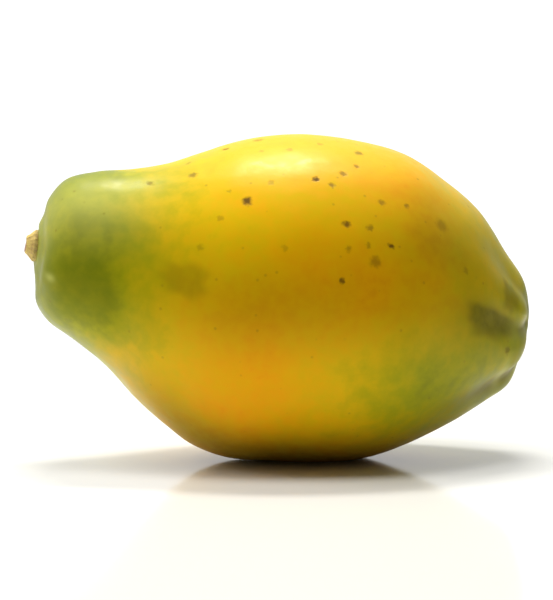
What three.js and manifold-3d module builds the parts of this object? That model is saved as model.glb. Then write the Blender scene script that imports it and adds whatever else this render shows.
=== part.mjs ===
// A whole papaya lying on its side, with the stub of its stem still in the neck.
// Millimetres, +Z up. It lies on the plane z = 0, on a small flat spot whose centre is the
// origin. The neck and stem stub point to -X, the blossom end to +X, and -Y is the near side.

import * as THREE from "three";
import { mergeVertices } from "three/addons/utils/BufferGeometryUtils.js";
import Module from "manifold-3d";

const { degToRad, lerp, smoothstep } = THREE.MathUtils;

// Driving dimensions of the fruit
const LENGTH = 160.6; // skin alone, from the stem pole to the blossom pole
const GIRTH_RADIUS = 52.7; // at the thickest place
const BREADTH = 0.985; // width across over height
const AXIS_FALL = degToRad(8); // the axis falls this much towards the blossom end
const PRESS = 0.8; // how far the underside is pressed in where it rests

// The outline from the stem pole to the blossom pole: share of the length, share of the girth
// radius, and how far the middle of the section has dropped below the axis, in millimetres
const OUTLINE = [
  [0, 0, 0],
  [0.003, 0.125, 0.2],
  [0.0105, 0.21, 0.8],
  [0.0165, 0.312, 1.1],
  [0.044, 0.424, 0.6],
  [0.1, 0.504, 1.2],
  [0.17, 0.59, 3.3],
  [0.235, 0.702, 6.1],
  [0.3, 0.817, 7.2],
  [0.36, 0.91, 7.6],
  [0.43, 0.97, 7.1],
  [0.5, 0.986, 5.9],
  [0.6, 0.977, 5.3],
  [0.7, 0.927, 4.8],
  [0.78, 0.815, 4.7],
  [0.86, 0.66, 4.6],
  [0.93, 0.459, 6.3],
  [0.968, 0.342, 6.9],
  [0.988, 0.2, 5.3],
  [0.997, 0.085, 3.9],
  [1, 0, 3.6],
];

// Five seams run from pole to pole between the carpels: angle about the axis, 0 up, 90 near side
const SEAMS = [42, 84, 136, 214, 298].map(degToRad);
const SEAM_ON_BODY = { depth: 0.45, halfWidth: degToRad(24) };
const SEAM_AT_TIP = { depth: 2.2, halfWidth: degToRad(14) };
const SEAM_AT_POLE = { radius: 18, halfWidth: degToRad(28) }; // where the seams run together
const SEAM_DEEPENS = [0.74, 0.95]; // share of the length over which a seam becomes a furrow

// Slow waves in and out, as on any grown fruit: height in millimetres, waves round the fruit,
// and how far they twist along it and start, in radians
const WAVES = [
  { height: 0.4, round: 2, twist: 4, start: 0 },
  { height: 0.24, round: 3, twist: -7, start: 1 },
];
const CALM_RADIUS = 10; // nearer the axis than this, seams and waves run out

const BLOSSOM_PIT = { radius: 2.6, depth: 0.4 }; // the scar of the blossom, at its pole

// The stem stub from the middle of its cut face, over the rim, down its tapering side and round
// its root: radius, and height above the stem pole
const STUB_RADIUS = 5.0;
const STUB_ROOT = 2.2;
const STUB_OUTLINE = [
  [0, 2.5],
  [2.3, 3.0],
  [2.95, 2.5],
  [3.7, 1.8],
  [4.5, 1.0],
  [STUB_RADIUS, 0.2],
  [STUB_RADIUS, -STUB_ROOT],
  [0, -STUB_ROOT],
];
const CLEARANCE = 0.3; // round the root and below it, in its socket
const SOCKET_MOUTH = 3.0; // height above the stem pole to which the socket is cut open

// Fineness
const SECTORS = 80;
const RINGS = 56;
const STUB_SECTORS = 40;
const POLE_CROWDING = 0.6; // rings lie closer together towards the poles
const WELD = 1e-4; // vertices nearer than this are one
const LEVEL = 1e-3; // vertices nearer the table than this touch it

// Directions of the fruit's own axis, and across it
const ALONG = new THREE.Vector3(Math.cos(AXIS_FALL), 0, -Math.sin(AXIS_FALL));
const UP = new THREE.Vector3(Math.sin(AXIS_FALL), 0, Math.cos(AXIS_FALL));
const NEAR = new THREE.Vector3(0, -1, 0);

const wasm = await Module();
wasm.setup();

// A closed geometry as a solid, welded, without the empty triangles at the poles.
function solidFrom(geometry) {
  const bare = geometry.clone();
  bare.deleteAttribute("normal");
  bare.deleteAttribute("uv");
  const merged = mergeVertices(bare, WELD);
  const corners = merged.index.array;
  const kept = [];
  for (let i = 0; i < corners.length; i += 3) {
    const [a, b, c] = corners.slice(i, i + 3);
    if (a !== b && b !== c && c !== a) kept.push(a, b, c);
  }
  return new wasm.Manifold(
    new wasm.Mesh({
      numProp: 3,
      vertProperties: merged.attributes.position.array,
      triVerts: new Uint32Array(kept),
    }),
  );
}

// A solid as a geometry with flat facets.
function geometryFrom(solid) {
  const { vertProperties, triVerts } = solid.getMesh();
  const indexed = new THREE.BufferGeometry()
    .setAttribute("position", new THREE.BufferAttribute(vertProperties, 3))
    .setIndex(new THREE.BufferAttribute(triVerts, 1));
  const geometry = indexed.toNonIndexed();
  geometry.computeVertexNormals();
  return geometry;
}

// The signed turn from one angle to another, the short way round.
function turnBetween(from, to) {
  return Math.atan2(Math.sin(to - from), Math.cos(to - from));
}

// How far the seams draw the skin in, at a share of the length, a radius and an angle.
function seamInset(share, radius, angle) {
  const deepened = smoothstep(share, ...SEAM_DEEPENS);
  const depth = lerp(SEAM_ON_BODY.depth, SEAM_AT_TIP.depth, deepened);
  const open = lerp(SEAM_ON_BODY.halfWidth, SEAM_AT_TIP.halfWidth, deepened);
  const width = lerp(SEAM_AT_POLE.halfWidth, open, smoothstep(radius, 0, SEAM_AT_POLE.radius));
  const drawnIn = SEAMS.map((seam) => Math.exp(-((turnBetween(seam, angle) / width) ** 2)));
  return depth * drawnIn.reduce((sum, value) => sum + value, 0);
}

// How far the slow waves lift the skin, at a share of the length and an angle.
function waveLift(share, angle) {
  return WAVES.map(({ height, round, twist, start }) => {
    return height * Math.sin(round * angle + twist * share + start);
  }).reduce((sum, value) => sum + value, 0);
}

// How far the blossom's scar sinks the skin along the axis, into the fruit.
function pitDepth(share, radius) {
  return share > 0.5 ? BLOSSOM_PIT.depth * Math.exp(-((radius / BLOSSOM_PIT.radius) ** 2)) : 0;
}

// A place in the fruit's own directions as a point of the frame, before the fruit is set down.
function placed(along, up, near) {
  return new THREE.Vector3()
    .addScaledVector(ALONG, along)
    .addScaledVector(UP, up)
    .addScaledVector(NEAR, near);
}

// The skin: the outline turned about the axis, then lifted and drawn in square to its surface.
function skinGeometry() {
  const outline = new THREE.CatmullRomCurve3(
    OUTLINE.map(([share, radius, drop]) => {
      return new THREE.Vector3(share * LENGTH, radius * GIRTH_RADIUS, drop);
    }),
  );
  const stations = [];
  const slopes = [];
  for (let ring = 0; ring <= RINGS; ring++) {
    const even = ring / RINGS;
    const crowded = (POLE_CROWDING * Math.sin(2 * Math.PI * even)) / (2 * Math.PI);
    stations.push(outline.getPointAt(even - crowded));
    slopes.push(outline.getTangentAt(even - crowded));
  }
  const profile = stations.map((station) => new THREE.Vector2(Math.max(station.y, 0), station.x));
  const geometry = new THREE.LatheGeometry(profile, SECTORS);
  const position = geometry.attributes.position;
  for (let i = 0; i < position.count; i++) {
    const ring = i % stations.length;
    const sector = Math.floor(i / stations.length) % SECTORS;
    const angle = (2 * Math.PI * sector) / SECTORS;
    const station = stations[ring];
    const slope = slopes[ring];
    const share = station.x / LENGTH;
    const bare = Math.max(station.y, 0);
    const calm = smoothstep(bare, 0, CALM_RADIUS);
    const lift = calm * (waveLift(share, angle) - seamInset(share, bare, angle));
    const radius = bare + slope.x * lift;
    const point = placed(
      station.x - slope.y * lift - pitDepth(share, bare),
      radius * Math.cos(angle) - station.z,
      radius * Math.sin(angle) * BREADTH,
    );
    position.setXYZ(i, point.x, point.y, point.z);
  }
  return geometry;
}

// The stub, turned about the fruit's axis.
function stubGeometry() {
  const outline = STUB_OUTLINE.map(([radius, height]) => new THREE.Vector2(radius, -height));
  return alongAxis(new THREE.LatheGeometry(outline, STUB_SECTORS));
}

// The socket for the root, a little wider and deeper than it, open past the skin.
function socketGeometry() {
  const radius = STUB_RADIUS + CLEARANCE;
  const floor = STUB_ROOT + CLEARANCE;
  const geometry = new THREE.CylinderGeometry(radius, radius, SOCKET_MOUTH + floor, STUB_SECTORS);
  geometry.translate(0, (floor - SOCKET_MOUTH) / 2, 0);
  return alongAxis(geometry);
}

// A geometry made about its own Y axis, turned so that Y runs along the fruit from the stem pole.
function alongAxis(geometry) {
  return geometry.applyMatrix4(new THREE.Matrix4().makeBasis(NEAR, ALONG, UP));
}

// The fruit pressed into the plane z = 0, and the move that set it down there, with the middle of
// the pressed spot at the origin.
function setDown(fruit) {
  const low = fruit.boundingBox().min[2];
  const pressed = fruit.translate([0, 0, -low - PRESS]).subtract(solidFrom(tableGeometry()));
  const spot = new THREE.Box3();
  const { vertProperties } = pressed.getMesh();
  for (let i = 0; i < vertProperties.length; i += 3) {
    const vertex = new THREE.Vector3().fromArray(vertProperties, i);
    if (Math.abs(vertex.z) < LEVEL) spot.expandByPoint(vertex);
  }
  const middle = spot.getCenter(new THREE.Vector3());
  return {
    solid: pressed.translate([-middle.x, -middle.y, 0]),
    move: [-middle.x, -middle.y, -low - PRESS],
  };
}

// Everything below the plane that the fruit lies on.
function tableGeometry() {
  const size = 4 * LENGTH;
  return new THREE.BoxGeometry(size, size, size).translate(0, 0, -size / 2);
}

function namedMesh(name, solid, material) {
  const mesh = new THREE.Mesh(geometryFrom(solid), material);
  mesh.name = name;
  return mesh;
}

const socketed = solidFrom(skinGeometry()).subtract(solidFrom(socketGeometry()));
const fruit = setDown(socketed);
const stubSolid = solidFrom(stubGeometry()).translate(fruit.move);

const skinMaterial = new THREE.MeshStandardMaterial({
  color: 0xd9a514,
  roughness: 0.38,
  metalness: 0,
});
const stubMaterial = new THREE.MeshStandardMaterial({
  color: 0xa88a4e,
  roughness: 0.8,
  metalness: 0,
});

const papaya = new THREE.Group();
papaya.name = "papaya";
papaya.add(namedMesh("fruit", fruit.solid, skinMaterial));
papaya.add(namedMesh("stem_stub", stubSolid, stubMaterial));

export default papaya;
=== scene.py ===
"""A ripening papaya lying on its side, with the dry stub of its stem.

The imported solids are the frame. The skin and the stub are made anew on the solids' own outlines,
finer and with their small relief, and stand for them. Metres, +Z up, the neck towards -X and the
near side towards -Y. Outlines and reliefs are given in millimetres, as they are for the solids.
"""

import logging
import math
from dataclasses import dataclass, field
from enum import Enum
from typing import ClassVar

import bmesh
import bpy
import numpy as np
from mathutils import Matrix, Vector, noise


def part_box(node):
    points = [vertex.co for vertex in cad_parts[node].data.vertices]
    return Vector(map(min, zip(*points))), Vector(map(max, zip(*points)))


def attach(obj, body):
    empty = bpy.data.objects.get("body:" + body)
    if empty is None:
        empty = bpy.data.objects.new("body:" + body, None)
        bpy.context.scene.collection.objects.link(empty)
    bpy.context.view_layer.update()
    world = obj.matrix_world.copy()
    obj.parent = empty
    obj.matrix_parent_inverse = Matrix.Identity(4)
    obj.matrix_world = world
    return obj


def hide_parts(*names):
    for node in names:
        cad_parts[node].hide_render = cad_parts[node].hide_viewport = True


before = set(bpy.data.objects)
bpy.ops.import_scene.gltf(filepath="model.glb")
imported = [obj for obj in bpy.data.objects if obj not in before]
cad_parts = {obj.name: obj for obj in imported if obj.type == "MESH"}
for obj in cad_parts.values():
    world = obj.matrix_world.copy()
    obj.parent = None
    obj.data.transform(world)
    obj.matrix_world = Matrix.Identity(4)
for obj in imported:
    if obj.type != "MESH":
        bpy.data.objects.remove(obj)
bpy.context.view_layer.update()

LOG = logging.getLogger("papaya")
MM = 0.001
FULL_TURN = 2 * math.pi
WELD = 1e-4
MIDDLE = 0.5  # share of the length that parts the stem end from the blossom end
NOISE_SPAN = (0.25, 0.75)  # nearly all of a noise texture lies in here
NOISE_CORE = (0.3, 0.7)  # and most of it in here

Triple = tuple[float, float, float]
Colour = tuple[float, float, float, float]
SocketValue = bpy.types.NodeSocket | float | Triple | Colour


class Slot(Enum):
    """The record's material slots."""

    SKIN = "skin"
    STEM = "stem"


class Node(Enum):
    """The solids that the pieces stand for."""

    FRUIT = "fruit"
    STUB = "stem_stub"


class Field(Enum):
    """Values that a piece's mesh carries for its finish."""

    RIPENESS = "ripeness"
    SHADE = "shade"
    BLOOM_AND_SHEEN = "bloom_and_sheen"
    CUT = "cut"


def smoothstep(value: np.ndarray, low: float, high: float) -> np.ndarray:
    """Eases from 0 at low to 1 at high.

    Args:
        value: The values to ease.
        low: Where the result is still 0.
        high: Where the result has become 1.

    Returns:
        The eased values.
    """
    share = np.clip((value - low) / (high - low), 0, 1)
    return share * share * (3 - 2 * share)


def blend(start: float | np.ndarray, end: float | np.ndarray, share: np.ndarray) -> np.ndarray:
    """Goes from start to end as share goes from 0 to 1.

    Args:
        start: The value at 0.
        end: The value at 1.
        share: How far each result has gone.

    Returns:
        The blended values.
    """
    return start + (end - start) * share


def turn_between(start: float, end: np.ndarray) -> np.ndarray:
    """Gives the signed turn from one angle to others, the short way round.

    Args:
        start: The angle to start from, in radians.
        end: The angles to reach.

    Returns:
        The turns, from minus pi to pi.
    """
    return np.arctan2(np.sin(end - start), np.cos(end - start))


def hill(distance: np.ndarray) -> np.ndarray:
    """Gives a soft round hill, 1 at distance 0."""
    return np.exp(-(distance**2))


def lumps(points: np.ndarray, size: float, offset: float) -> np.ndarray:
    """Gives smooth noise at points.

    Args:
        points: The places, one row each.
        size: How far apart the lumps are, in the unit of the points.
        offset: Moves the pattern, so that two of one size differ.

    Returns:
        A value from about -1 to 1 for each point.
    """
    shift = Vector((offset, offset, offset))
    return np.array([noise.noise(Vector(point) / size + shift) for point in points])


def fallen(along: np.ndarray, near: np.ndarray, up: np.ndarray, fall: float) -> np.ndarray:
    """Turns places in the fruit's own directions into points of the frame.

    Args:
        along: How far along the axis, towards the blossom end.
        near: How far towards the near side.
        up: How far up from the axis, square to it.
        fall: How far the axis falls towards the blossom end, in radians.

    Returns:
        The points, one row each, in the unit of the places.
    """
    cos_fall, sin_fall = math.cos(fall), math.sin(fall)
    return np.column_stack([
        along * cos_fall + up * sin_fall,
        -near,
        up * cos_fall - along * sin_fall,
    ])


@dataclass(frozen=True)
class Wave:
    """A wave over an angle: its height, how many make a turn, its start and its twist."""

    height: float
    count: float
    start: float = 0
    twist: float = 0

    def at(self, angle: np.ndarray, share: float | np.ndarray = 0) -> np.ndarray:
        """Gives the wave at angles.

        Args:
            angle: The angles, in radians.
            share: What the twist is multiplied by, which moves the wave round.

        Returns:
            The wave's values.
        """
        return self.height * np.sin(self.count * angle + self.twist * share + self.start)


@dataclass(frozen=True)
class Outline:
    """The fruit's outline from the stem pole to the blossom pole, as one smooth curve.

    A station is its share of the length, its share of the girth radius, and how far the middle of
    the section has dropped below the axis, in millimetres.
    """

    length: float = 160.6
    girth_radius: float = 52.7
    stations: tuple[Triple, ...] = (
        (0, 0, 0),
        (0.003, 0.125, 0.2),
        (0.0105, 0.21, 0.8),
        (0.0165, 0.312, 1.1),
        (0.044, 0.424, 0.6),
        (0.1, 0.504, 1.2),
        (0.17, 0.59, 3.3),
        (0.235, 0.702, 6.1),
        (0.3, 0.817, 7.2),
        (0.36, 0.91, 7.6),
        (0.43, 0.97, 7.1),
        (0.5, 0.986, 5.9),
        (0.6, 0.977, 5.3),
        (0.7, 0.927, 4.8),
        (0.78, 0.815, 4.7),
        (0.86, 0.66, 4.6),
        (0.93, 0.459, 6.3),
        (0.968, 0.342, 6.9),
        (0.988, 0.2, 5.3),
        (0.997, 0.085, 3.9),
        (1, 0, 3.6),
    )
    divisions: int = 400
    nudge: float = 1e-4

    def curve(self, place: np.ndarray) -> np.ndarray:
        """Gives points of the centripetal curve through the stations.

        Args:
            place: How far along the stations each point is, from 0 to 1.

        Returns:
            One row of along, radius and drop for each place, in millimetres.
        """
        scale = (self.length, self.girth_radius, 1)
        knots = np.array(self.stations) * scale
        first = 2 * knots[0] - knots[1]
        last = 2 * knots[-1] - knots[-2]
        padded = np.vstack([first, knots, last])
        spans = len(knots) - 1
        span = np.minimum(np.floor(place * spans), spans - 1).astype(int)
        weight = (place * spans - span)[:, None]
        a, b, c, d = (padded[span + step] for step in range(4))
        before, within, after = (
            np.sqrt(np.linalg.norm(end - start, axis=1))[:, None]
            for start, end in ((a, b), (b, c), (c, d))
        )
        out = ((b - a) / before - (c - a) / (before + within) + (c - b) / within) * within
        into = ((c - b) / within - (d - b) / (within + after) + (d - c) / after) * within
        square = -3 * b + 3 * c - 2 * out - into
        cube = 2 * b - 2 * c + out + into
        return b + weight * (out + weight * (square + weight * cube))

    def sample(self, even: np.ndarray) -> tuple[np.ndarray, np.ndarray]:
        """Gives points of the outline by the share of its own length along the curve.

        Args:
            even: The shares, from 0 at the stem pole to 1 at the blossom pole.

        Returns:
            The points and the unit directions of the curve there.
        """
        places = np.linspace(0, 1, self.divisions + 1)
        steps = np.linalg.norm(np.diff(self.curve(places), axis=0), axis=1)
        walked = np.concatenate([[0], np.cumsum(steps)])
        place = np.interp(even * walked[-1], walked, places)
        ahead = self.curve(np.minimum(place + self.nudge, 1))
        behind = self.curve(np.maximum(place - self.nudge, 0))
        course = ahead - behind
        return self.curve(place), course / np.linalg.norm(course, axis=1)[:, None]


@dataclass(frozen=True)
class Seams:
    """The five seams between the carpels, shallow on the body and furrows at the blossom end."""

    angles: tuple[float, ...] = (42, 84, 136, 214, 298)
    strengths: tuple[float, ...] = (0.5, 0.85, 1.0, 1.0, 1.0)
    body_depth: float = 0.45
    body_half_width: float = math.radians(24)
    tip_depth: float = 2.2
    tip_half_width: float = math.radians(14)
    pole_radius: float = 18
    pole_half_width: float = math.radians(28)
    deepens: tuple[float, float] = (0.74, 0.95)
    crease_share: float = 0.55

    def inset(self, share: np.ndarray, radius: np.ndarray, angle: np.ndarray) -> np.ndarray:
        """Gives how far the seams draw the skin in.

        Args:
            share: Share of the fruit's length.
            radius: Distance from the axis, in millimetres.
            angle: Angle about the axis, in radians.

        Returns:
            The insets, in millimetres.
        """
        deepened = smoothstep(share, *self.deepens)
        depth = blend(self.body_depth, self.tip_depth, deepened)
        open_width = blend(self.body_half_width, self.tip_half_width, deepened)
        near_pole = smoothstep(radius, 0, self.pole_radius)
        width = blend(self.pole_half_width, open_width, near_pole)
        return depth * self._lines(angle, width)

    def crease(self, share: np.ndarray, angle: np.ndarray) -> np.ndarray:
        """Gives the dark line in the bottom of each furrow near the blossom end, partly painted
        shade in the furrow and partly its own darker colour.

        Args:
            share: Share of the fruit's length.
            angle: Angle about the axis, in radians.

        Returns:
            A value from 0, plain skin, to 1, the middle of a furrow.
        """
        narrow = self.tip_half_width * self.crease_share
        return np.clip(self._lines(angle, narrow), 0, 1) * smoothstep(share, *self.deepens)

    def _lines(self, angle: np.ndarray, half_width: float | np.ndarray) -> np.ndarray:
        """Gives the seams' own profiles round the fruit, added up.

        Args:
            angle: Angle about the axis, in radians.
            half_width: Half the width of a seam, in radians.

        Returns:
            The sums, about 1 in the middle of a full seam.
        """
        return sum(
            strength * hill(turn_between(math.radians(seam), angle) / half_width)
            for seam, strength in zip(self.angles, self.strengths)
        )


@dataclass(frozen=True)
class Patch:
    """A patch on the skin, where a value of the finish changes, softly or with a crisp edge.

    A crisp edge fades between two distances from the middle, given as shares of the half sizes. It
    is uneven, and its first wave starts at the patch's own angle, so that no two are alike.
    """

    FADE: ClassVar[tuple[float, float]] = (0.65, 1.35)
    UNEVEN: ClassVar[tuple[Wave, ...]] = (Wave(0.10, 3, twist=1), Wave(0.08, 7, start=2))

    share: float
    angle: float
    half_length: float
    half_breadth: float
    change: float
    crisp: bool = False

    def spread(self, share: np.ndarray, radius: np.ndarray, angle: np.ndarray,
               length: float) -> np.ndarray:
        """Gives how much the patch changes the value at places of the skin.

        Args:
            share: Share of the fruit's length.
            radius: Distance from the axis, in millimetres.
            angle: Angle about the axis, in radians.
            length: Length of the fruit, in millimetres.

        Returns:
            The changes.
        """
        along = (share - self.share) * length / self.half_length
        round_it = turn_between(math.radians(self.angle), angle) * radius / self.half_breadth
        if self.crisp:
            course = np.arctan2(round_it, along)
            uneven = sum(wave.at(course, self.angle) for wave in self.UNEVEN)
            away = np.cbrt(np.abs(along) ** 3 + np.abs(round_it) ** 3) * (1 + uneven)
            return self.change * (1 - smoothstep(away, *self.FADE))
        return self.change * hill(np.hypot(along, round_it))


@dataclass(frozen=True)
class Speck:
    """A brown speck on the skin: its place, its radius in millimetres, and how dark it is."""

    share: float
    angle: float
    radius: float
    darkness: float


class Shader:
    """A node material under construction."""

    def __init__(self, name: str) -> None:
        """Makes an empty material with a Principled surface.

        Args:
            name: Name of the material.
        """
        self.material = bpy.data.materials.new(name)
        self.material.use_nodes = True
        self.tree = self.material.node_tree
        self.surface = next(n for n in self.tree.nodes if n.type == "BSDF_PRINCIPLED")
        self.place = self.node("ShaderNodeTexCoord").outputs["Object"]

    def node(self, kind: str, inputs: dict | None = None, **settings) -> bpy.types.Node:
        """Adds a node.

        Args:
            kind: Blender's name of the kind of node.
            inputs: Values or sockets for its inputs, by name or index.
            settings: Properties of the node.

        Returns:
            The node.
        """
        made = self.tree.nodes.new(kind)
        for name, value in settings.items():
            setattr(made, name, value)
        for name, value in (inputs or {}).items():
            self.feed(made.inputs[name], value)
        return made

    def feed(self, socket: bpy.types.NodeSocket, value: SocketValue) -> None:
        """Joins a socket to another one, or sets its value.

        Args:
            socket: The input socket.
            value: The output socket to join it to, or its own value.
        """
        if isinstance(value, bpy.types.NodeSocket):
            self.tree.links.new(value, socket)
        else:
            socket.default_value = value

    def noise(self, scale: float, detail: float = 2, place: bpy.types.NodeSocket | None = None,
              output: str = "Fac") -> bpy.types.NodeSocket:
        """Adds noise.

        Args:
            scale: Lumps per metre.
            detail: How many finer layers it has.
            place: Where it is read, the Object coordinates if left out.
            output: The output to use.

        Returns:
            The noise, from 0 to 1.
        """
        inputs = {"Vector": place or self.place, "Scale": scale, "Detail": detail}
        return self.node("ShaderNodeTexNoise", inputs).outputs[output]

    def math(self, operation: str, first: SocketValue, second: SocketValue = 0.0,
             clamp: bool = False) -> bpy.types.NodeSocket:
        """Adds a sum.

        Args:
            operation: Blender's name of the operation.
            first: First value.
            second: Second value.
            clamp: Whether the result is kept from 0 to 1.

        Returns:
            The result.
        """
        inputs = {0: first, 1: second}
        made = self.node("ShaderNodeMath", inputs, operation=operation, use_clamp=clamp)
        return made.outputs[0]

    def vector(self, operation: str, inputs: dict, output: str = "Vector") -> bpy.types.NodeSocket:
        """Adds a sum of vectors.

        Args:
            operation: Blender's name of the operation.
            inputs: Values or sockets for its inputs, by name or index.
            output: The output to use.

        Returns:
            The result.
        """
        return self.node("ShaderNodeVectorMath", inputs, operation=operation).outputs[output]

    def remap(self, value: SocketValue, low: float, high: float, start: float = 0.0,
              end: float = 1.0) -> bpy.types.NodeSocket:
        """Eases a value from one range to another, clamped.

        Args:
            value: The value.
            low: The value that becomes start.
            high: The value that becomes end.
            start: The result at low.
            end: The result at high.

        Returns:
            The result.
        """
        inputs = {
            "Value": value,
            "From Min": low,
            "From Max": high,
            "To Min": start,
            "To Max": end,
        }
        made = self.node("ShaderNodeMapRange", inputs, interpolation_type="SMOOTHSTEP")
        return made.outputs["Result"]

    def mix(self, share: SocketValue, first: SocketValue, second: SocketValue,
            blend_type: str = "MIX") -> bpy.types.NodeSocket:
        """Mixes two colours.

        Args:
            share: How much of the second one.
            first: First colour.
            second: Second colour.
            blend_type: Blender's name of the way to mix.

        Returns:
            The mixed colour.
        """
        made = self.node("ShaderNodeMix", data_type="RGBA", blend_type=blend_type)
        for index, value in ((0, share), (6, first), (7, second)):
            self.feed(made.inputs[index], value)
        return made.outputs[2]

    def ramp(self, value: bpy.types.NodeSocket, stops: dict[float, Triple]) -> bpy.types.NodeSocket:
        """Turns a value into a colour.

        Args:
            value: The value, from 0 to 1.
            stops: The colour at each place of the ramp.

        Returns:
            The colour.
        """
        made = self.node("ShaderNodeValToRGB", {"Fac": value})
        elements = made.color_ramp.elements
        for index, (place, colour) in enumerate(sorted(stops.items())):
            element = elements[index] if index < 2 else elements.new(place)
            element.position = place
            element.color = (*colour, 1)
        return made.outputs["Color"]

    def read(self, name: Field) -> bpy.types.NodeSocket:
        """Reads a value that the mesh carries."""
        return self.node("ShaderNodeAttribute", attribute_name=name.value).outputs["Fac"]


@dataclass(frozen=True)
class SkinFinish:
    """Waxy papaya skin, green where unripe and yellow to orange where ripe, with brown specks,
    darker patches that are partly painted shade, and lighter patches that are partly painted sheen
    and highlights.
    """

    colours: dict[float, Triple] = field(default_factory=lambda: {
        0.0: (0.124, 0.174, 0.001),
        0.2: (0.240, 0.265, 0.003),
        0.3: (0.355, 0.350, 0.003),
        0.45: (0.540, 0.420, 0.003),
        0.6: (0.740, 0.480, 0.003),
        0.75: (0.840, 0.450, 0.002),
        0.9: (0.900, 0.400, 0.002),
        1.0: (0.880, 0.330, 0.002),
    })
    olive_and_shade: Colour = (0.145, 0.122, 0.001, 1)
    brown: Colour = (0.070, 0.026, 0.004, 1)
    freckle: Colour = (0.200, 0.110, 0.012, 1)
    pale_and_sheen: Colour = (0.640, 0.640, 0.170, 1)
    blotch_scale: float = 62
    blotch_change: float = 0.075
    mottle_scale: float = 260
    mottle_change: float = 0.055
    shade_mottle: tuple[float, float] = (0.9, 1.06)
    bloom_and_sheen_strength: float = 0.8
    freckle_scale: float = 230
    freckle_choice: tuple[float, float] = (0.62, 0.66)
    freckle_edge: tuple[float, float] = (0.16, 0.05)
    freckle_strength: float = 0.32
    wobble_scale: float = 700
    wobble: float = 0.0022
    speck_edge: tuple[float, float] = (1.35, 0.35)
    roughness: tuple[float, float] = (0.30, 0.42)
    speck_roughness: float = 0.62
    shade_dullness: float = 0.4
    subsurface: float = 0.08
    subsurface_depth: float = 0.002
    subsurface_spread: Triple = (1.0, 0.55, 0.12)
    pore_scale: float = 900
    pore_height: float = 0.12
    ripple_scale: float = 110
    ripple_height: float = 0.28
    speck_sink: float = 0.35
    relief_strength: float = 0.55
    relief_depth: float = 0.0004
    wax_tint: Colour = (1.0, 0.80, 0.16, 1)
    wax_level: float = 0.27

    def material(self, specks: list[tuple[Vector, Speck]]) -> bpy.types.Material:
        """Makes the material.

        Args:
            specks: The specks, with the points of the skin where they are.

        Returns:
            The material.
        """
        shader = Shader("papaya_skin")
        mottle = shader.noise(self.mottle_scale, detail=4)
        ripeness = self._ripeness(shader, mottle)
        colour = shader.ramp(ripeness, self.colours)
        # Mostly painted shade: olive mixed in by the shade field, which also holds a few real olive
        # patches and the stigma scar.
        mottled = shader.remap(mottle, *NOISE_CORE, *self.shade_mottle)
        shade = shader.math("MULTIPLY", shader.read(Field.SHADE), mottled, clamp=True)
        colour = shader.mix(shade, colour, self.olive_and_shade)
        # Mostly painted sheen and highlights: the pale colour mixed in by the bloom field, which
        # also holds a real pale collar round the stem and a small pale spot.
        bloom_and_sheen = shader.math("MULTIPLY", shader.read(Field.BLOOM_AND_SHEEN), self.bloom_and_sheen_strength)
        colour = shader.mix(bloom_and_sheen, colour, self.pale_and_sheen)
        colour = shader.mix(self._freckles(shader), colour, self.freckle)
        dark = self._speck_mask(shader, specks)
        colour = shader.mix(dark, colour, self.brown)
        shader.feed(shader.surface.inputs["Base Color"], colour)
        self._set_gloss(shader, mottle, dark)
        self._set_relief(shader, dark)
        return shader.material

    def _ripeness(self, shader: Shader, mottle: bpy.types.NodeSocket) -> bpy.types.NodeSocket:
        """Adds blotches and a fine mottle to the ripeness that the mesh carries.

        Args:
            shader: The material under construction.
            mottle: The fine mottle.

        Returns:
            The ripeness, from 0 to 1.
        """
        blotch = shader.noise(self.blotch_scale, detail=5)
        uneven = shader.remap(blotch, *NOISE_SPAN, -self.blotch_change, self.blotch_change)
        fine = shader.remap(mottle, *NOISE_SPAN, -self.mottle_change, self.mottle_change)
        added = shader.math("ADD", uneven, fine)
        return shader.math("ADD", shader.read(Field.RIPENESS), added, clamp=True)

    def _freckles(self, shader: Shader) -> bpy.types.NodeSocket:
        """Gives faint small freckles, a few in each square centimetre.

        Args:
            shader: The material under construction.

        Returns:
            How much of the freckle's colour shows.
        """
        inputs = {"Vector": shader.place, "Scale": self.freckle_scale}
        cells = shader.node("ShaderNodeTexVoronoi", inputs)
        chosen = shader.remap(cells.outputs["Color"], *self.freckle_choice)
        dot = shader.remap(cells.outputs["Distance"], *self.freckle_edge)
        return shader.math("MULTIPLY", shader.math("MULTIPLY", chosen, dot), self.freckle_strength)

    def _speck_mask(self, shader: Shader,
                    specks: list[tuple[Vector, Speck]]) -> bpy.types.NodeSocket:
        """Gives the brown specks, each a spot with an uneven edge round its point.

        Args:
            shader: The material under construction.
            specks: The specks, with the points of the skin where they are.

        Returns:
            How dark the specks are at a place.
        """
        wobble = shader.noise(self.wobble_scale, detail=2, output="Color")
        centred = shader.vector("SUBTRACT", {0: wobble, 1: (0.5, 0.5, 0.5)})
        small = shader.vector("SCALE", {0: centred, "Scale": self.wobble})
        shifted = shader.vector("ADD", {0: shader.place, 1: small})
        darkest: SocketValue = 0.0
        for point, speck in specks:
            away = shader.vector("DISTANCE", {0: shifted, 1: tuple(point)}, output="Value")
            outer, inner = (speck.radius * edge * MM for edge in self.speck_edge)
            spot = shader.remap(away, outer, inner, 0.0, speck.darkness)
            darkest = shader.math("MAXIMUM", spot, darkest)
        return darkest

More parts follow.
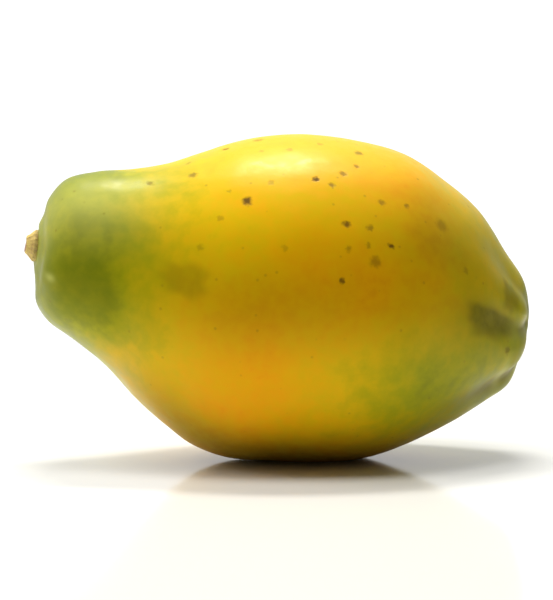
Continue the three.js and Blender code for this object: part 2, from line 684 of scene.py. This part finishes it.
    def _set_gloss(self, shader: Shader, mottle: bpy.types.NodeSocket,
                   dark: bpy.types.NodeSocket) -> None:
        """Sets the waxy gloss, duller on the specks and where the shade field is high.

        Args:
            shader: The material under construction.
            mottle: The fine mottle.
            dark: How dark the specks are.
        """
        wax = shader.remap(mottle, *NOISE_SPAN, *self.roughness)
        dull_shade = shader.math("MULTIPLY", shader.read(Field.SHADE), self.shade_dullness)
        duller = shader.math("MAXIMUM", dark, dull_shade)
        choices = {0: duller, 2: wax, 3: self.speck_roughness}
        rough = shader.node("ShaderNodeMix", choices, data_type="FLOAT")
        inputs = shader.surface.inputs
        shader.feed(inputs["Roughness"], rough.outputs[0])
        inputs["Subsurface Weight"].default_value = self.subsurface
        inputs["Subsurface Radius"].default_value = self.subsurface_spread
        inputs["Subsurface Scale"].default_value = self.subsurface_depth
        inputs["Specular Tint"].default_value = self.wax_tint
        inputs["Specular IOR Level"].default_value = self.wax_level

    def _set_relief(self, shader: Shader, dark: bpy.types.NodeSocket) -> None:
        """Sets the fine relief: pores, faint ripples, and specks a little sunk.

        Args:
            shader: The material under construction.
            dark: How dark the specks are.
        """
        pores = shader.noise(self.pore_scale, detail=3)
        ripples = shader.noise(self.ripple_scale, detail=2)
        fine = shader.math("MULTIPLY", pores, self.pore_height)
        broad = shader.math("MULTIPLY", ripples, self.ripple_height)
        height = shader.math("ADD", fine, broad)
        sunk = shader.math("SUBTRACT", height, shader.math("MULTIPLY", dark, self.speck_sink))
        inputs = {"Height": sunk, "Strength": self.relief_strength, "Distance": self.relief_depth}
        bump = shader.node("ShaderNodeBump", inputs)
        shader.feed(shader.surface.inputs["Normal"], bump.outputs["Normal"])


@dataclass(frozen=True)
class StubFinish:
    """Dry stem: a tan side with fibres along it, a browner cut face, and painted shade at its base
    where it meets the fruit.
    """

    tan: Triple = (0.720, 0.540, 0.160)
    dark_tan: Triple = (0.400, 0.250, 0.070)
    cut_pale: Triple = (0.520, 0.300, 0.190)
    cut_dark: Triple = (0.230, 0.110, 0.060)
    foot_shade_colour: Colour = (0.06, 0.04, 0.012, 1)
    fibre_scale: float = 900
    fibre_stretch: Triple = (0.16, 1.0, 1.0)
    side_span: tuple[float, float] = (0.3, 0.62)
    grain_scale: float = 1500
    grain_height: float = 0.5
    cut_span: tuple[float, float] = (0.32, 0.66)
    roughness: tuple[float, float] = (0.62, 0.88)
    relief_strength: float = 0.7
    relief_depth: float = 0.0003

    def material(self, fall: float) -> bpy.types.Material:
        """Makes the material.

        Args:
            fall: How far the fibres' direction turns about +Y from +X, in radians.

        Returns:
            The material.
        """
        shader = Shader("papaya_stem")
        rotation = (0.0, -fall, 0.0)
        turned = shader.node("ShaderNodeMapping", {"Vector": shader.place, "Rotation": rotation})
        stretch = {"Vector": turned.outputs[0], "Scale": self.fibre_stretch}
        drawn_out = shader.node("ShaderNodeMapping", stretch)
        fibres = shader.noise(self.fibre_scale, detail=4, place=drawn_out.outputs[0])
        side = shader.ramp(fibres, dict(zip(self.side_span, (self.dark_tan, self.tan))))
        grain = shader.noise(self.grain_scale, detail=3)
        face = shader.ramp(grain, dict(zip(self.cut_span, (self.cut_dark, self.cut_pale))))
        colour = shader.mix(shader.read(Field.CUT), side, face)
        # Painted shade: darkens the stub towards its base, where it meets the fruit.
        colour = shader.mix(shader.read(Field.SHADE), colour, self.foot_shade_colour)
        shader.feed(shader.surface.inputs["Base Color"], colour)
        rough = shader.remap(fibres, *NOISE_CORE, *self.roughness)
        shader.feed(shader.surface.inputs["Roughness"], rough)
        grains = shader.math("MULTIPLY", grain, self.grain_height)
        height = shader.math("ADD", fibres, grains)
        inputs = {"Height": height, "Strength": self.relief_strength, "Distance": self.relief_depth}
        bump = shader.node("ShaderNodeBump", inputs)
        shader.feed(shader.surface.inputs["Normal"], bump.outputs["Normal"])
        return shader.material


@dataclass(frozen=True)
class FloorFinish:
    """A smooth white board that mirrors a little of what stands on it and thins out at its edge."""

    white: Colour = (0.97, 0.96, 0.90, 1)
    roughness: float = 0.10
    solid_radius: float = 0.27
    edge_radius: float = 0.44

    def material(self) -> bpy.types.Material:
        """Makes the material.

        Returns:
            The material.
        """
        shader = Shader("white_board")
        shader.surface.inputs["Base Color"].default_value = self.white
        shader.surface.inputs["Roughness"].default_value = self.roughness
        away = shader.vector("LENGTH", {0: shader.place}, output="Value")
        there = shader.remap(away, self.edge_radius, self.solid_radius)
        shader.feed(shader.surface.inputs["Alpha"], there)
        return shader.material


def turned_shape(rings: int, sectors: int,
                 cuts: int) -> tuple[bmesh.types.BMesh, np.ndarray, np.ndarray]:
    """Turns a plain profile about the X axis into a closed shape, ready to be given its outline.

    Args:
        rings: How many rows of faces lie between the poles at first.
        sectors: How many steps make the full turn at first.
        cuts: How many times each edge is then cut.

    Returns:
        The shape, and for each of its vertices how far it is from the first pole to the last, from
        0 to 1, and its angle about the axis, 0 up and a quarter turn on the near side.
    """
    shape = bmesh.new()
    line = [shape.verts.new((ring, 0, 0 if ring in (0, rings) else 1)) for ring in range(rings + 1)]
    for start, end in zip(line, line[1:]):
        shape.edges.new((start, end))
    bmesh.ops.spin(
        shape,
        geom=shape.verts[:] + shape.edges[:],
        cent=(0, 0, 0),
        axis=(1, 0, 0),
        angle=FULL_TURN,
        steps=sectors,
        use_merge=True,
    )
    bmesh.ops.remove_doubles(shape, verts=shape.verts[:], dist=WELD)
    bmesh.ops.subdivide_edges(shape, edges=shape.edges[:], cuts=cuts, use_grid_fill=True)
    points = np.array([vertex.co[:] for vertex in shape.verts])
    return shape, points[:, 0] / rings, np.arctan2(-points[:, 1], points[:, 2])


def finished_piece(name: str, shape: bmesh.types.BMesh, points: np.ndarray,
                   fields: dict[Field, np.ndarray]) -> bpy.types.Object:
    """Makes an object of a shape, with its vertices moved to their places.

    Args:
        name: Name of the piece.
        shape: The shape, which is used up.
        points: The place of each vertex, in metres.
        fields: The values that the mesh carries for its finish.

    Returns:
        The object, in the scene.
    """
    for vertex, point in zip(shape.verts, points):
        vertex.co = point
    bmesh.ops.recalc_face_normals(shape, faces=shape.faces[:])
    mesh = bpy.data.meshes.new(name)
    shape.to_mesh(mesh)
    shape.free()
    mesh.shade_smooth()
    for carried, values in fields.items():
        attribute = mesh.attributes.new(carried.value, "FLOAT", "POINT")
        attribute.data.foreach_set("value", values.astype(np.float32))
    piece = bpy.data.objects.new(name, mesh)
    bpy.context.scene.collection.objects.link(piece)
    return piece


def fitted(points: np.ndarray, low: np.ndarray, high: np.ndarray) -> np.ndarray:
    """Moves and scales points along each axis so that they just fill a box.

    Args:
        points: The points, one row each.
        low: Lowest corner of the box.
        high: Highest corner of the box.

    Returns:
        The points in their new places.
    """
    lowest = points.min(0)
    return low + (points - lowest) / (points.max(0) - lowest) * (high - low)


@dataclass
class Fruit:
    """The fruit: skin and flesh in one closed piece. Its own sizes are in millimetres."""

    outline: Outline = field(default_factory=Outline)
    seams: Seams = field(default_factory=Seams)
    finish: SkinFinish = field(default_factory=SkinFinish)
    breadth: float = 0.985
    axis_fall: float = math.radians(8)
    press: float = 0.8
    waves: tuple[Wave, ...] = (Wave(0.4, 2, twist=4), Wave(0.24, 3, start=1, twist=-7))
    calm_radius: float = 10
    pit_radius: float = 2.6
    pit_depth: float = 0.4
    groove_radius: float = 5.6
    groove_depth: float = 0.35
    groove_half_width: float = 0.9
    lump_size: float = 13
    lump_height: float = 0.11
    fine_lump_share: float = 0.4
    fine_lump_divisor: float = 3
    lump_offsets: tuple[float, float] = (3.7, 9.1)
    sectors: int = 80
    rings: int = 68
    cuts: int = 3
    pole_crowding: float = 0.6

    ripe_edge: tuple[Wave, ...] = (Wave(0.02, 3, start=0.6), Wave(0.012, 7, start=2.1))
    crease_shade: float = 0.55
    scar_radius: float = 2.2
    darkest_shade: float = 0.92
    rim_bloom: float = 0.05
    rim_radius: float = 6.6
    rim_half_width: float = 1.3
    ripens: tuple[tuple[float, float], ...] = (
        (0.0, 0.18), (0.10, 0.15), (0.14, 0.24), (0.18, 0.42), (0.21, 0.56), (0.28, 0.63),
        (0.40, 0.68), (0.55, 0.71), (0.70, 0.70), (0.82, 0.56), (0.90, 0.44), (1.0, 0.34),
    )
    ripe_patches: tuple[Patch, ...] = (
        Patch(0.40, 115, 30, 26, 0.24),
        Patch(0.70, 38, 22, 16, 0.16),
        Patch(0.62, 80, 26, 11, 0.20),
        Patch(0.72, 118, 32, 24, -0.34),
        Patch(0.22, 20, 14, 16, -0.08),
        Patch(0.23, 44, 17, 12, -0.09),
        Patch(0.08, 52, 22, 14, 0.08),
        Patch(0.10, 106, 14, 10, -0.10),
        Patch(0.15, 62, 12, 12, 0.10),
        Patch(0.24, 112, 14, 22, -0.15),
        Patch(0.46, 12, 40, 18, -0.10),
        Patch(0.30, 244, 28, 22, 0.16),
        Patch(0.60, 252, 24, 18, 0.20),
        Patch(0.66, 318, 26, 20, 0.16),
        Patch(0.36, 318, 22, 16, -0.12),
        Patch(0.76, 222, 30, 22, -0.30),
        Patch(0.45, 195, 34, 22, -0.10),
        Patch(0.84, 290, 22, 20, -0.18),
        Patch(0.30, 352, 16, 10, 0.14),
        Patch(0.52, 340, 18, 9, -0.12),
        Patch(0.68, 356, 14, 9, 0.12),
    )
    # Olive patches for the shade field. Most are painted shade: the dim middle band of the near
    # side, the upper right and the right end, the underside near where the fruit rests, and the
    # lower neck. The crisp one at 0.273 is an olive blotch of the skin's own.
    olive_and_shade_patches: tuple[Patch, ...] = (
        Patch(0.273, 83, 6.2, 4.8, 0.24, crisp=True),
        Patch(0.32, 91, 27, 15, 0.18),
        Patch(0.09, 116, 16, 9, 0.20),
        Patch(0.77, 58, 16, 8, 0.20),
        Patch(0.73, 42, 20, 12, 0.20),
        Patch(0.52, 86, 62, 15, 0.30),
        Patch(0.71, 64, 26, 18, 0.22),
        Patch(0.88, 90, 30, 40, 0.16),
        # Crisp wedges at the blossom end: the furrows' own darker olive, with painted shade in
        # their hollows.
        Patch(0.888, 87, 8.6, 4.6, 0.38, crisp=True),
        Patch(0.38, 152, 26, 11, 0.34),
        Patch(0.60, 158, 40, 14, 0.40),
        Patch(0.932, 62, 3.2, 4.4, 0.38, crisp=True),
        # Painted shade beside a lit ridge at the blossom end, and under the blossom end.
        Patch(0.958, 128, 2.2, 7, 0.25),
        Patch(0.93, 140, 6, 6, 0.35),
        # Far side: painted shade that darkens it the way the near side's middle band is darkened.
        Patch(0.30, 300, 10, 6, 0.28),
        Patch(0.45, 280, 50, 15, 0.24),
        Patch(0.74, 300, 24, 14, 0.20),
        Patch(0.56, 338, 16, 9, 0.12),
        Patch(0.70, 232, 14, 8, 0.24),
        Patch(0.90, 262, 7, 5, 0.30, crisp=True),
    )
    # Pale patches for the bloom field: painted sheen on the neck's top where the top light shines,
    # a small pale spot of the skin's own, and pale streaks near the blossom end that are mostly
    # painted highlights along ridges.
    pale_and_sheen_patches: tuple[Patch, ...] = (
        Patch(0.085, 48, 16, 12, 0.66),
        Patch(0.029, 112, 1.4, 1.4, 0.60),
        Patch(0.937, 129, 1.7, 7, 0.40),
        Patch(0.953, 90, 3, 5, 0.25),
        Patch(0.89, 42, 6, 4, 0.18),
    )
    specks: tuple[Speck, ...] = (
        Speck(0.375, 49.5, 1.7, 0.9),
        Speck(0.501, 40.8, 1.2, 0.9),
        Speck(0.565, 58.8, 1.3, 0.8),
        Speck(0.650, 64.5, 1.1, 0.85),
        Speck(0.559, 78.5, 1.1, 0.8),
        Speck(0.278, 29.2, 1.5, 0.6),
        Speck(0.553, 36.0, 1.3, 0.6),
        Speck(0.532, 43.2, 1.1, 0.6),
        Speck(0.591, 19.8, 1.6, 0.6),
        Speck(0.585, 30.0, 1.0, 0.6),
        Speck(0.607, 59.0, 1.2, 0.5),
        Speck(0.633, 46.8, 1.2, 0.5),
        Speck(0.682, 46.5, 1.1, 0.55),
        Speck(0.625, 71.0, 1.9, 0.45),
        Speck(0.758, 48.2, 2.4, 0.35),
        Speck(0.198, 30.0, 1.3, 0.5),
        Speck(0.273, 16.0, 1.0, 0.35),
        Speck(0.519, 17.2, 1.1, 0.35),
        Speck(0.455, 22.2, 1.1, 0.35),
        Speck(0.406, 21.0, 1.0, 0.3),
        Speck(0.421, 41.5, 1.0, 0.3),
        Speck(0.571, 67.2, 1.1, 0.4),
        Speck(0.607, 65.8, 1.0, 0.4),
        Speck(0.337, 43.8, 0.9, 0.3),
        Speck(0.325, 56.0, 1.0, 0.3),
        Speck(0.295, 68.5, 1.1, 0.25),
        Speck(0.447, 69.0, 1.0, 0.25),
        Speck(0.818, 64.8, 1.2, 0.3),
        Speck(0.932, 104.0, 1.5, 0.5),
    )
    hidden_specks: int = 26
    hidden_shares: tuple[float, float] = (0.24, 0.86)
    hidden_angles: tuple[float, float] = (185, 372)
    hidden_radii: tuple[float, float] = (0.8, 1.8)
    hidden_darkness: tuple[float, float] = (0.3, 0.85)
    seed: int = 11

    def build(self) -> bpy.types.Object:
        """Makes the skin's mesh in the place of its solid.

        Returns:
            The piece.
        """
        shape, even, self.angle = turned_shape(self.rings, self.sectors, self.cuts)
        crowded = self.pole_crowding * np.sin(FULL_TURN * even) / FULL_TURN
        station, slope = self.outline.sample(even - crowded)
        self.share = station[:, 0] / self.outline.length
        self.radius = np.maximum(station[:, 1], 0)
        self.points = self._set_down(self._placed(station, slope))
        self.piece = finished_piece("papaya_fruit", shape, self.points, self._fields())
        return self.piece

    def _placed(self, station: np.ndarray, slope: np.ndarray) -> np.ndarray:
        """Gives each vertex its place on the fruit, before the fruit is set down.

        Args:
            station: Along, radius and drop of the outline at each vertex.
            slope: The outline's direction there.

        Returns:
            The points, in millimetres.
        """
        angle, radius, share = self.angle, self.radius, self.share
        calm = smoothstep(radius, 0, self.calm_radius)
        waves = sum(wave.at(angle, share) for wave in self.waves)
        lift = calm * (waves - self.seams.inset(share, radius, angle))
        pit = np.where(share > MIDDLE, self.pit_depth * hill(radius / self.pit_radius), 0)
        rim = hill((radius - self.groove_radius) / self.groove_half_width)
        groove = np.where(share < MIDDLE, self.groove_depth * rim, 0)
        bare = np.column_stack([station[:, 0], radius * np.cos(angle), radius * np.sin(angle)])
        broad_offset, fine_offset = self.lump_offsets
        broad = lumps(bare, self.lump_size, broad_offset)
        fine = lumps(bare, self.lump_size / self.fine_lump_divisor, fine_offset)
        lift = lift + calm * self.lump_height * (broad + self.fine_lump_share * fine)
        out = radius + slope[:, 0] * lift
        along = station[:, 0] - slope[:, 1] * lift - pit + groove
        up = out * np.cos(angle) - station[:, 2]
        near = out * np.sin(angle) * self.breadth
        return fallen(along, near, up, self.axis_fall)

    def _set_down(self, raw: np.ndarray) -> np.ndarray:
        """Fits the fruit to its solid's box, pressed flat where it rests.

        Args:
            raw: The points before the fruit is set down, in millimetres.

        Returns:
            The points in the frame, in metres.
        """
        low, high = (np.array(corner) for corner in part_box(Node.FRUIT.value))
        low[2] -= self.press * MM
        points = fitted(raw * MM, low, high)
        points[:, 2] = np.maximum(points[:, 2], 0)
        return points

    def _fields(self) -> dict[Field, np.ndarray]:
        """Gives the ripeness, the darker colour with its painted shade, and the lighter colour with
        its painted sheen, of the skin at each vertex.

        Returns:
            The values of each field, one for each vertex.
        """
        share, radius, angle = self.share, self.radius, self.angle
        shares, values = zip(*self.ripens)
        wander = sum(wave.at(angle) for wave in self.ripe_edge)
        ripeness = self._patched(np.interp(share + wander, shares, values), self.ripe_patches)
        # Painted shade in the furrows at the blossom end, partly the furrows' own darker colour;
        # the stigma scar added below is the skin's own colour.
        creases = self.crease_shade * self.seams.crease(share, angle)
        scar = np.where(share > MIDDLE, hill(radius / self.scar_radius), 0)
        shade = self._patched(creases, self.olive_and_shade_patches) + scar
        rim = self.rim_bloom * hill((radius - self.rim_radius) / self.rim_half_width)
        bloom_and_sheen = self._patched(np.where(share < MIDDLE, rim, 0), self.pale_and_sheen_patches)
        return {
            Field.RIPENESS: np.clip(ripeness, 0, 1),
            Field.SHADE: np.clip(shade, 0, self.darkest_shade),
            Field.BLOOM_AND_SHEEN: bloom_and_sheen,
        }

    def _patched(self, value: np.ndarray, patches: tuple[Patch, ...]) -> np.ndarray:
        """Adds patches to a value of the skin.

        Args:
            value: The value at each vertex.
            patches: The patches to add.

        Returns:
            The changed value.
        """
        for patch in patches:
            value = value + patch.spread(self.share, self.radius, self.angle, self.outline.length)
        return value

    def _spot(self, share: float, angle: float) -> Vector:
        """Finds the point of the skin at a share of the length and an angle in degrees.

        Args:
            share: Share of the length.
            angle: Angle about the axis, in degrees.

        Returns:
            The nearest vertex's place.
        """
        along = (self.share - share) * self.outline.length
        round_it = turn_between(math.radians(angle), self.angle) * self.radius
        return Vector(self.points[np.argmin(np.hypot(along, round_it))])

    def dress(self) -> None:
        """Gives the skin its finish, with specks on the hidden side drawn by a seed."""
        draw = np.random.default_rng(self.seed)
        hidden = [
            Speck(
                draw.uniform(*self.hidden_shares),
                draw.uniform(*self.hidden_angles) % 360,
                draw.uniform(*self.hidden_radii),
                draw.uniform(*self.hidden_darkness),
            )
            for _ in range(self.hidden_specks)
        ]
        placed = [(self._spot(s.share, s.angle), s) for s in (*self.specks, *hidden)]
        self.piece.data.materials.append(self.finish.material(placed))
        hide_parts(Node.FRUIT.value)
        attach(self.piece, "root")


@dataclass
class StemStub:
    """The dry stub of the stem, a short cone with a fibrous side and a cut face.

    A station is its height above the fruit's stem pole and its radius, in millimetres.
    """

    finish: StubFinish = field(default_factory=StubFinish)
    axis_fall: float = math.radians(8)
    stations: tuple[tuple[float, float], ...] = (
        (2.5, 0.0), (2.52, 0.5), (2.6, 1.0), (2.75, 1.45), (2.9, 1.8), (2.98, 2.1), (3.0, 2.3),
        (2.95, 2.5), (2.82, 2.68), (2.62, 2.84), (2.4, 2.98), (2.15, 3.16), (1.9, 3.38),
        (1.6, 3.68), (1.3, 4.0), (1.0, 4.32), (0.7, 4.6), (0.4, 4.82), (0.1, 4.96), (-0.3, 5.0),
        (-1.2, 5.0), (-2.0, 5.0), (-2.18, 4.9), (-2.2, 4.7), (-2.2, 3.0), (-2.2, 0.0),
    )
    rim_radius: float = 2.25
    rim_half_width: float = 0.4
    fibres: int = 13
    sway: Wave = Wave(0.8, 3)
    fine_fibres: Wave = Wave(0.5, 29, start=1)
    ridge_height: float = 0.022
    ridges_rise: tuple[float, float] = (-0.5, 0.4)
    lean: Wave = Wave(0.14, 2, start=0.5)
    leans: tuple[float, float] = (1, 3)
    cut_inside: float = 0.2
    cut_outside: float = 0.5
    cut_rise: tuple[float, float] = (0, 1)
    foot_rise: tuple[float, float] = (0.1, 0.9)
    foot_shade: float = 0.35
    sectors: int = 72
    cuts: int = 1

    def build(self) -> bpy.types.Object:
        """Makes the stub's mesh in the place of its solid.

        Returns:
            The piece.
        """
        stations = np.array(self.stations)
        spans = len(stations) - 1
        shape, even, angle = turned_shape(spans, self.sectors, self.cuts)
        high, out = (np.interp(even * spans, range(spans + 1), column) for column in stations.T)
        rim = self.rim_radius
        past_rim = smoothstep(out, rim - self.rim_half_width, rim + self.rim_half_width)
        on_side = smoothstep(high, *self.ridges_rise) * past_rim
        ridges = np.sin(self.fibres * angle + self.sway.at(angle)) + self.fine_fibres.at(angle)
        across = out * (1 + on_side * self.ridge_height * ridges)
        uneven = self.lean.at(angle) * smoothstep(high, *self.leans)
        raw = fallen(-high - uneven, across * np.sin(angle), across * np.cos(angle), self.axis_fall)
        points = fitted(raw, *(np.array(corner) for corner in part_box(Node.STUB.value)))
        off_cut = smoothstep(out, rim - self.cut_inside, rim + self.cut_outside)
        fields = {
            Field.CUT: (1 - off_cut) * smoothstep(high, *self.cut_rise),
            # Painted shade at the base of the stub, where it meets the fruit.
            Field.SHADE: (1 - smoothstep(high, *self.foot_rise)) * self.foot_shade,
        }
        self.piece = finished_piece("papaya_stem_stub", shape, points, fields)
        return self.piece

    def dress(self) -> None:
        """Gives the stub its finish."""
        self.piece.data.materials.append(self.finish.material(self.axis_fall))
        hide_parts(Node.STUB.value)
        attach(self.piece, "root")


@dataclass(frozen=True)
class Softbox:
    """A rectangular soft light that looks at the fruit and may show in its gloss."""

    name: str
    place: Triple
    size: tuple[float, float]
    power: float
    glossy: bool = True

    def hang(self, target: Vector) -> None:
        """Puts the light in the scene.

        Args:
            target: The point that it looks at.
        """
        light = bpy.data.lights.new(self.name, "AREA")
        light.shape = "RECTANGLE"
        light.size, light.size_y = self.size
        light.energy = self.power
        lamp = bpy.data.objects.new(self.name, light)
        lamp.location = self.place
        lamp.rotation_euler = (target - lamp.location).to_track_quat("-Z", "Y").to_euler()
        lamp.visible_camera = False
        lamp.visible_glossy = self.glossy
        bpy.context.scene.collection.objects.link(lamp)


@dataclass
class Studio:
    """The white floor, the soft light and the camera."""

    finish: FloorFinish = field(default_factory=FloorFinish)
    floor_radius: float = 0.45
    floor_segments: int = 96
    target: Vector = field(default_factory=lambda: Vector((-0.0024, 0, 0.05)))
    azimuth: float = math.radians(-8)
    elevation: float = math.radians(5)
    distance: float = 0.9
    lens: float = 169.5
    sensor: float = 36.0
    clip: tuple[float, float] = (0.01, 30.0)
    aim_right: float = -0.00817
    aim_up: float = 0.00084
    softboxes: tuple[Softbox, ...] = (
        Softbox("top_softbox", (0.03, 0.32, 0.92), (0.36, 0.12), 6.5),
        Softbox("front_softbox", (0.0, -0.12, 0.95), (0.50, 0.30), 4.2, glossy=False),
        Softbox("left_softbox", (-0.60, 0.05, 0.85), (0.50, 0.50), 4.5, glossy=False),
    )
    backdrop: float = 1.15
    exposure: float = 0.03
    skyward: Triple = (-0.25, 0.85, 0.45)
    sky: tuple[tuple[float, float], ...] = ((0.34, 0.04), (0.52, 0.14), (0.70, 0.38), (0.86, 0.74))

    def build(self) -> bpy.types.Object:
        """Makes the floor.

        Returns:
            The floor.
        """
        shape = bmesh.new()
        bmesh.ops.create_circle(
            shape,
            cap_ends=True,
            segments=self.floor_segments,
            radius=self.floor_radius,
        )
        mesh = bpy.data.meshes.new("white_floor")
        shape.to_mesh(mesh)
        shape.free()
        self.floor = bpy.data.objects.new("white_floor", mesh)
        bpy.context.scene.collection.objects.link(self.floor)
        return self.floor

    def dress(self) -> None:
        """Gives the floor its finish and sets the light, the backdrop and the camera."""
        self.floor.data.materials.append(self.finish.material())
        for softbox in self.softboxes:
            softbox.hang(self.target)
        self._set_backdrop()
        self._set_camera()
        settings = bpy.context.scene.view_settings
        settings.view_transform = "Standard"
        settings.look = "None"
        settings.exposure = self.exposure

    def _set_backdrop(self) -> None:
        """Surrounds the scene with grey light, brightest skyward, and shows the camera white."""
        world = bpy.data.worlds.new("studio")
        bpy.context.scene.world = world
        world.use_nodes = True
        nodes, links = world.node_tree.nodes, world.node_tree.links
        nodes.clear()
        direction = nodes.new("ShaderNodeTexCoord")
        bright = nodes.new("ShaderNodeVectorMath")
        bright.operation = "DOT_PRODUCT"
        bright.inputs[1].default_value = self.skyward
        links.new(direction.outputs["Generated"], bright.inputs[0])
        # The product goes from -1 to 1, and the ramp from 0 to 1
        place = nodes.new("ShaderNodeMapRange")
        place.inputs["From Min"].default_value = -1.0
        links.new(bright.outputs["Value"], place.inputs["Value"])
        ramp = nodes.new("ShaderNodeValToRGB")
        links.new(place.outputs["Result"], ramp.inputs["Fac"])
        elements = ramp.color_ramp.elements
        for index, (at, grey) in enumerate(self.sky):
            element = elements[index] if index < 2 else elements.new(at)
            element.position = at
            element.color = (grey, grey, grey, 1)
        around = nodes.new("ShaderNodeBackground")
        links.new(ramp.outputs["Color"], around.inputs["Color"])
        behind = nodes.new("ShaderNodeBackground")
        behind.inputs["Color"].default_value = (1, 1, 1, 1)
        behind.inputs["Strength"].default_value = self.backdrop
        path = nodes.new("ShaderNodeLightPath")
        chosen = nodes.new("ShaderNodeMixShader")
        links.new(path.outputs["Is Camera Ray"], chosen.inputs[0])
        links.new(around.outputs[0], chosen.inputs[1])
        links.new(behind.outputs[0], chosen.inputs[2])
        out = nodes.new("ShaderNodeOutputWorld")
        links.new(chosen.outputs[0], out.inputs["Surface"])

    def _set_camera(self) -> None:
        """Puts the camera at the photograph's viewing angle, aimed for its framing."""
        turn, rise = self.azimuth, self.elevation
        level = math.cos(rise)
        back = Vector((math.sin(turn) * level, -math.cos(turn) * level, math.sin(rise)))
        right = Vector((math.cos(turn), math.sin(turn), 0))
        aim = self.target + right * self.aim_right + back.cross(right) * self.aim_up
        camera = bpy.data.cameras.new("camera")
        camera.lens = self.lens
        camera.sensor_width = self.sensor
        camera.clip_start, camera.clip_end = self.clip
        view = bpy.data.objects.new("camera", camera)
        view.location = self.target + back * self.distance
        view.rotation_euler = (aim - view.location).to_track_quat("-Z", "Y").to_euler()
        bpy.context.scene.collection.objects.link(view)
        bpy.context.scene.camera = view


def main() -> None:
    """Builds and dresses the fruit, its stem stub and the studio."""
    logging.basicConfig(level=logging.INFO, format="%(message)s")
    for part in (Fruit(), StemStub(), Studio()):
        made = part.build()
        part.dress()
        mesh = made.data
        LOG.info("%s: %d vertices, %d faces", made.name, len(mesh.vertices), len(mesh.polygons))


if __name__ == "__main__":
    main()
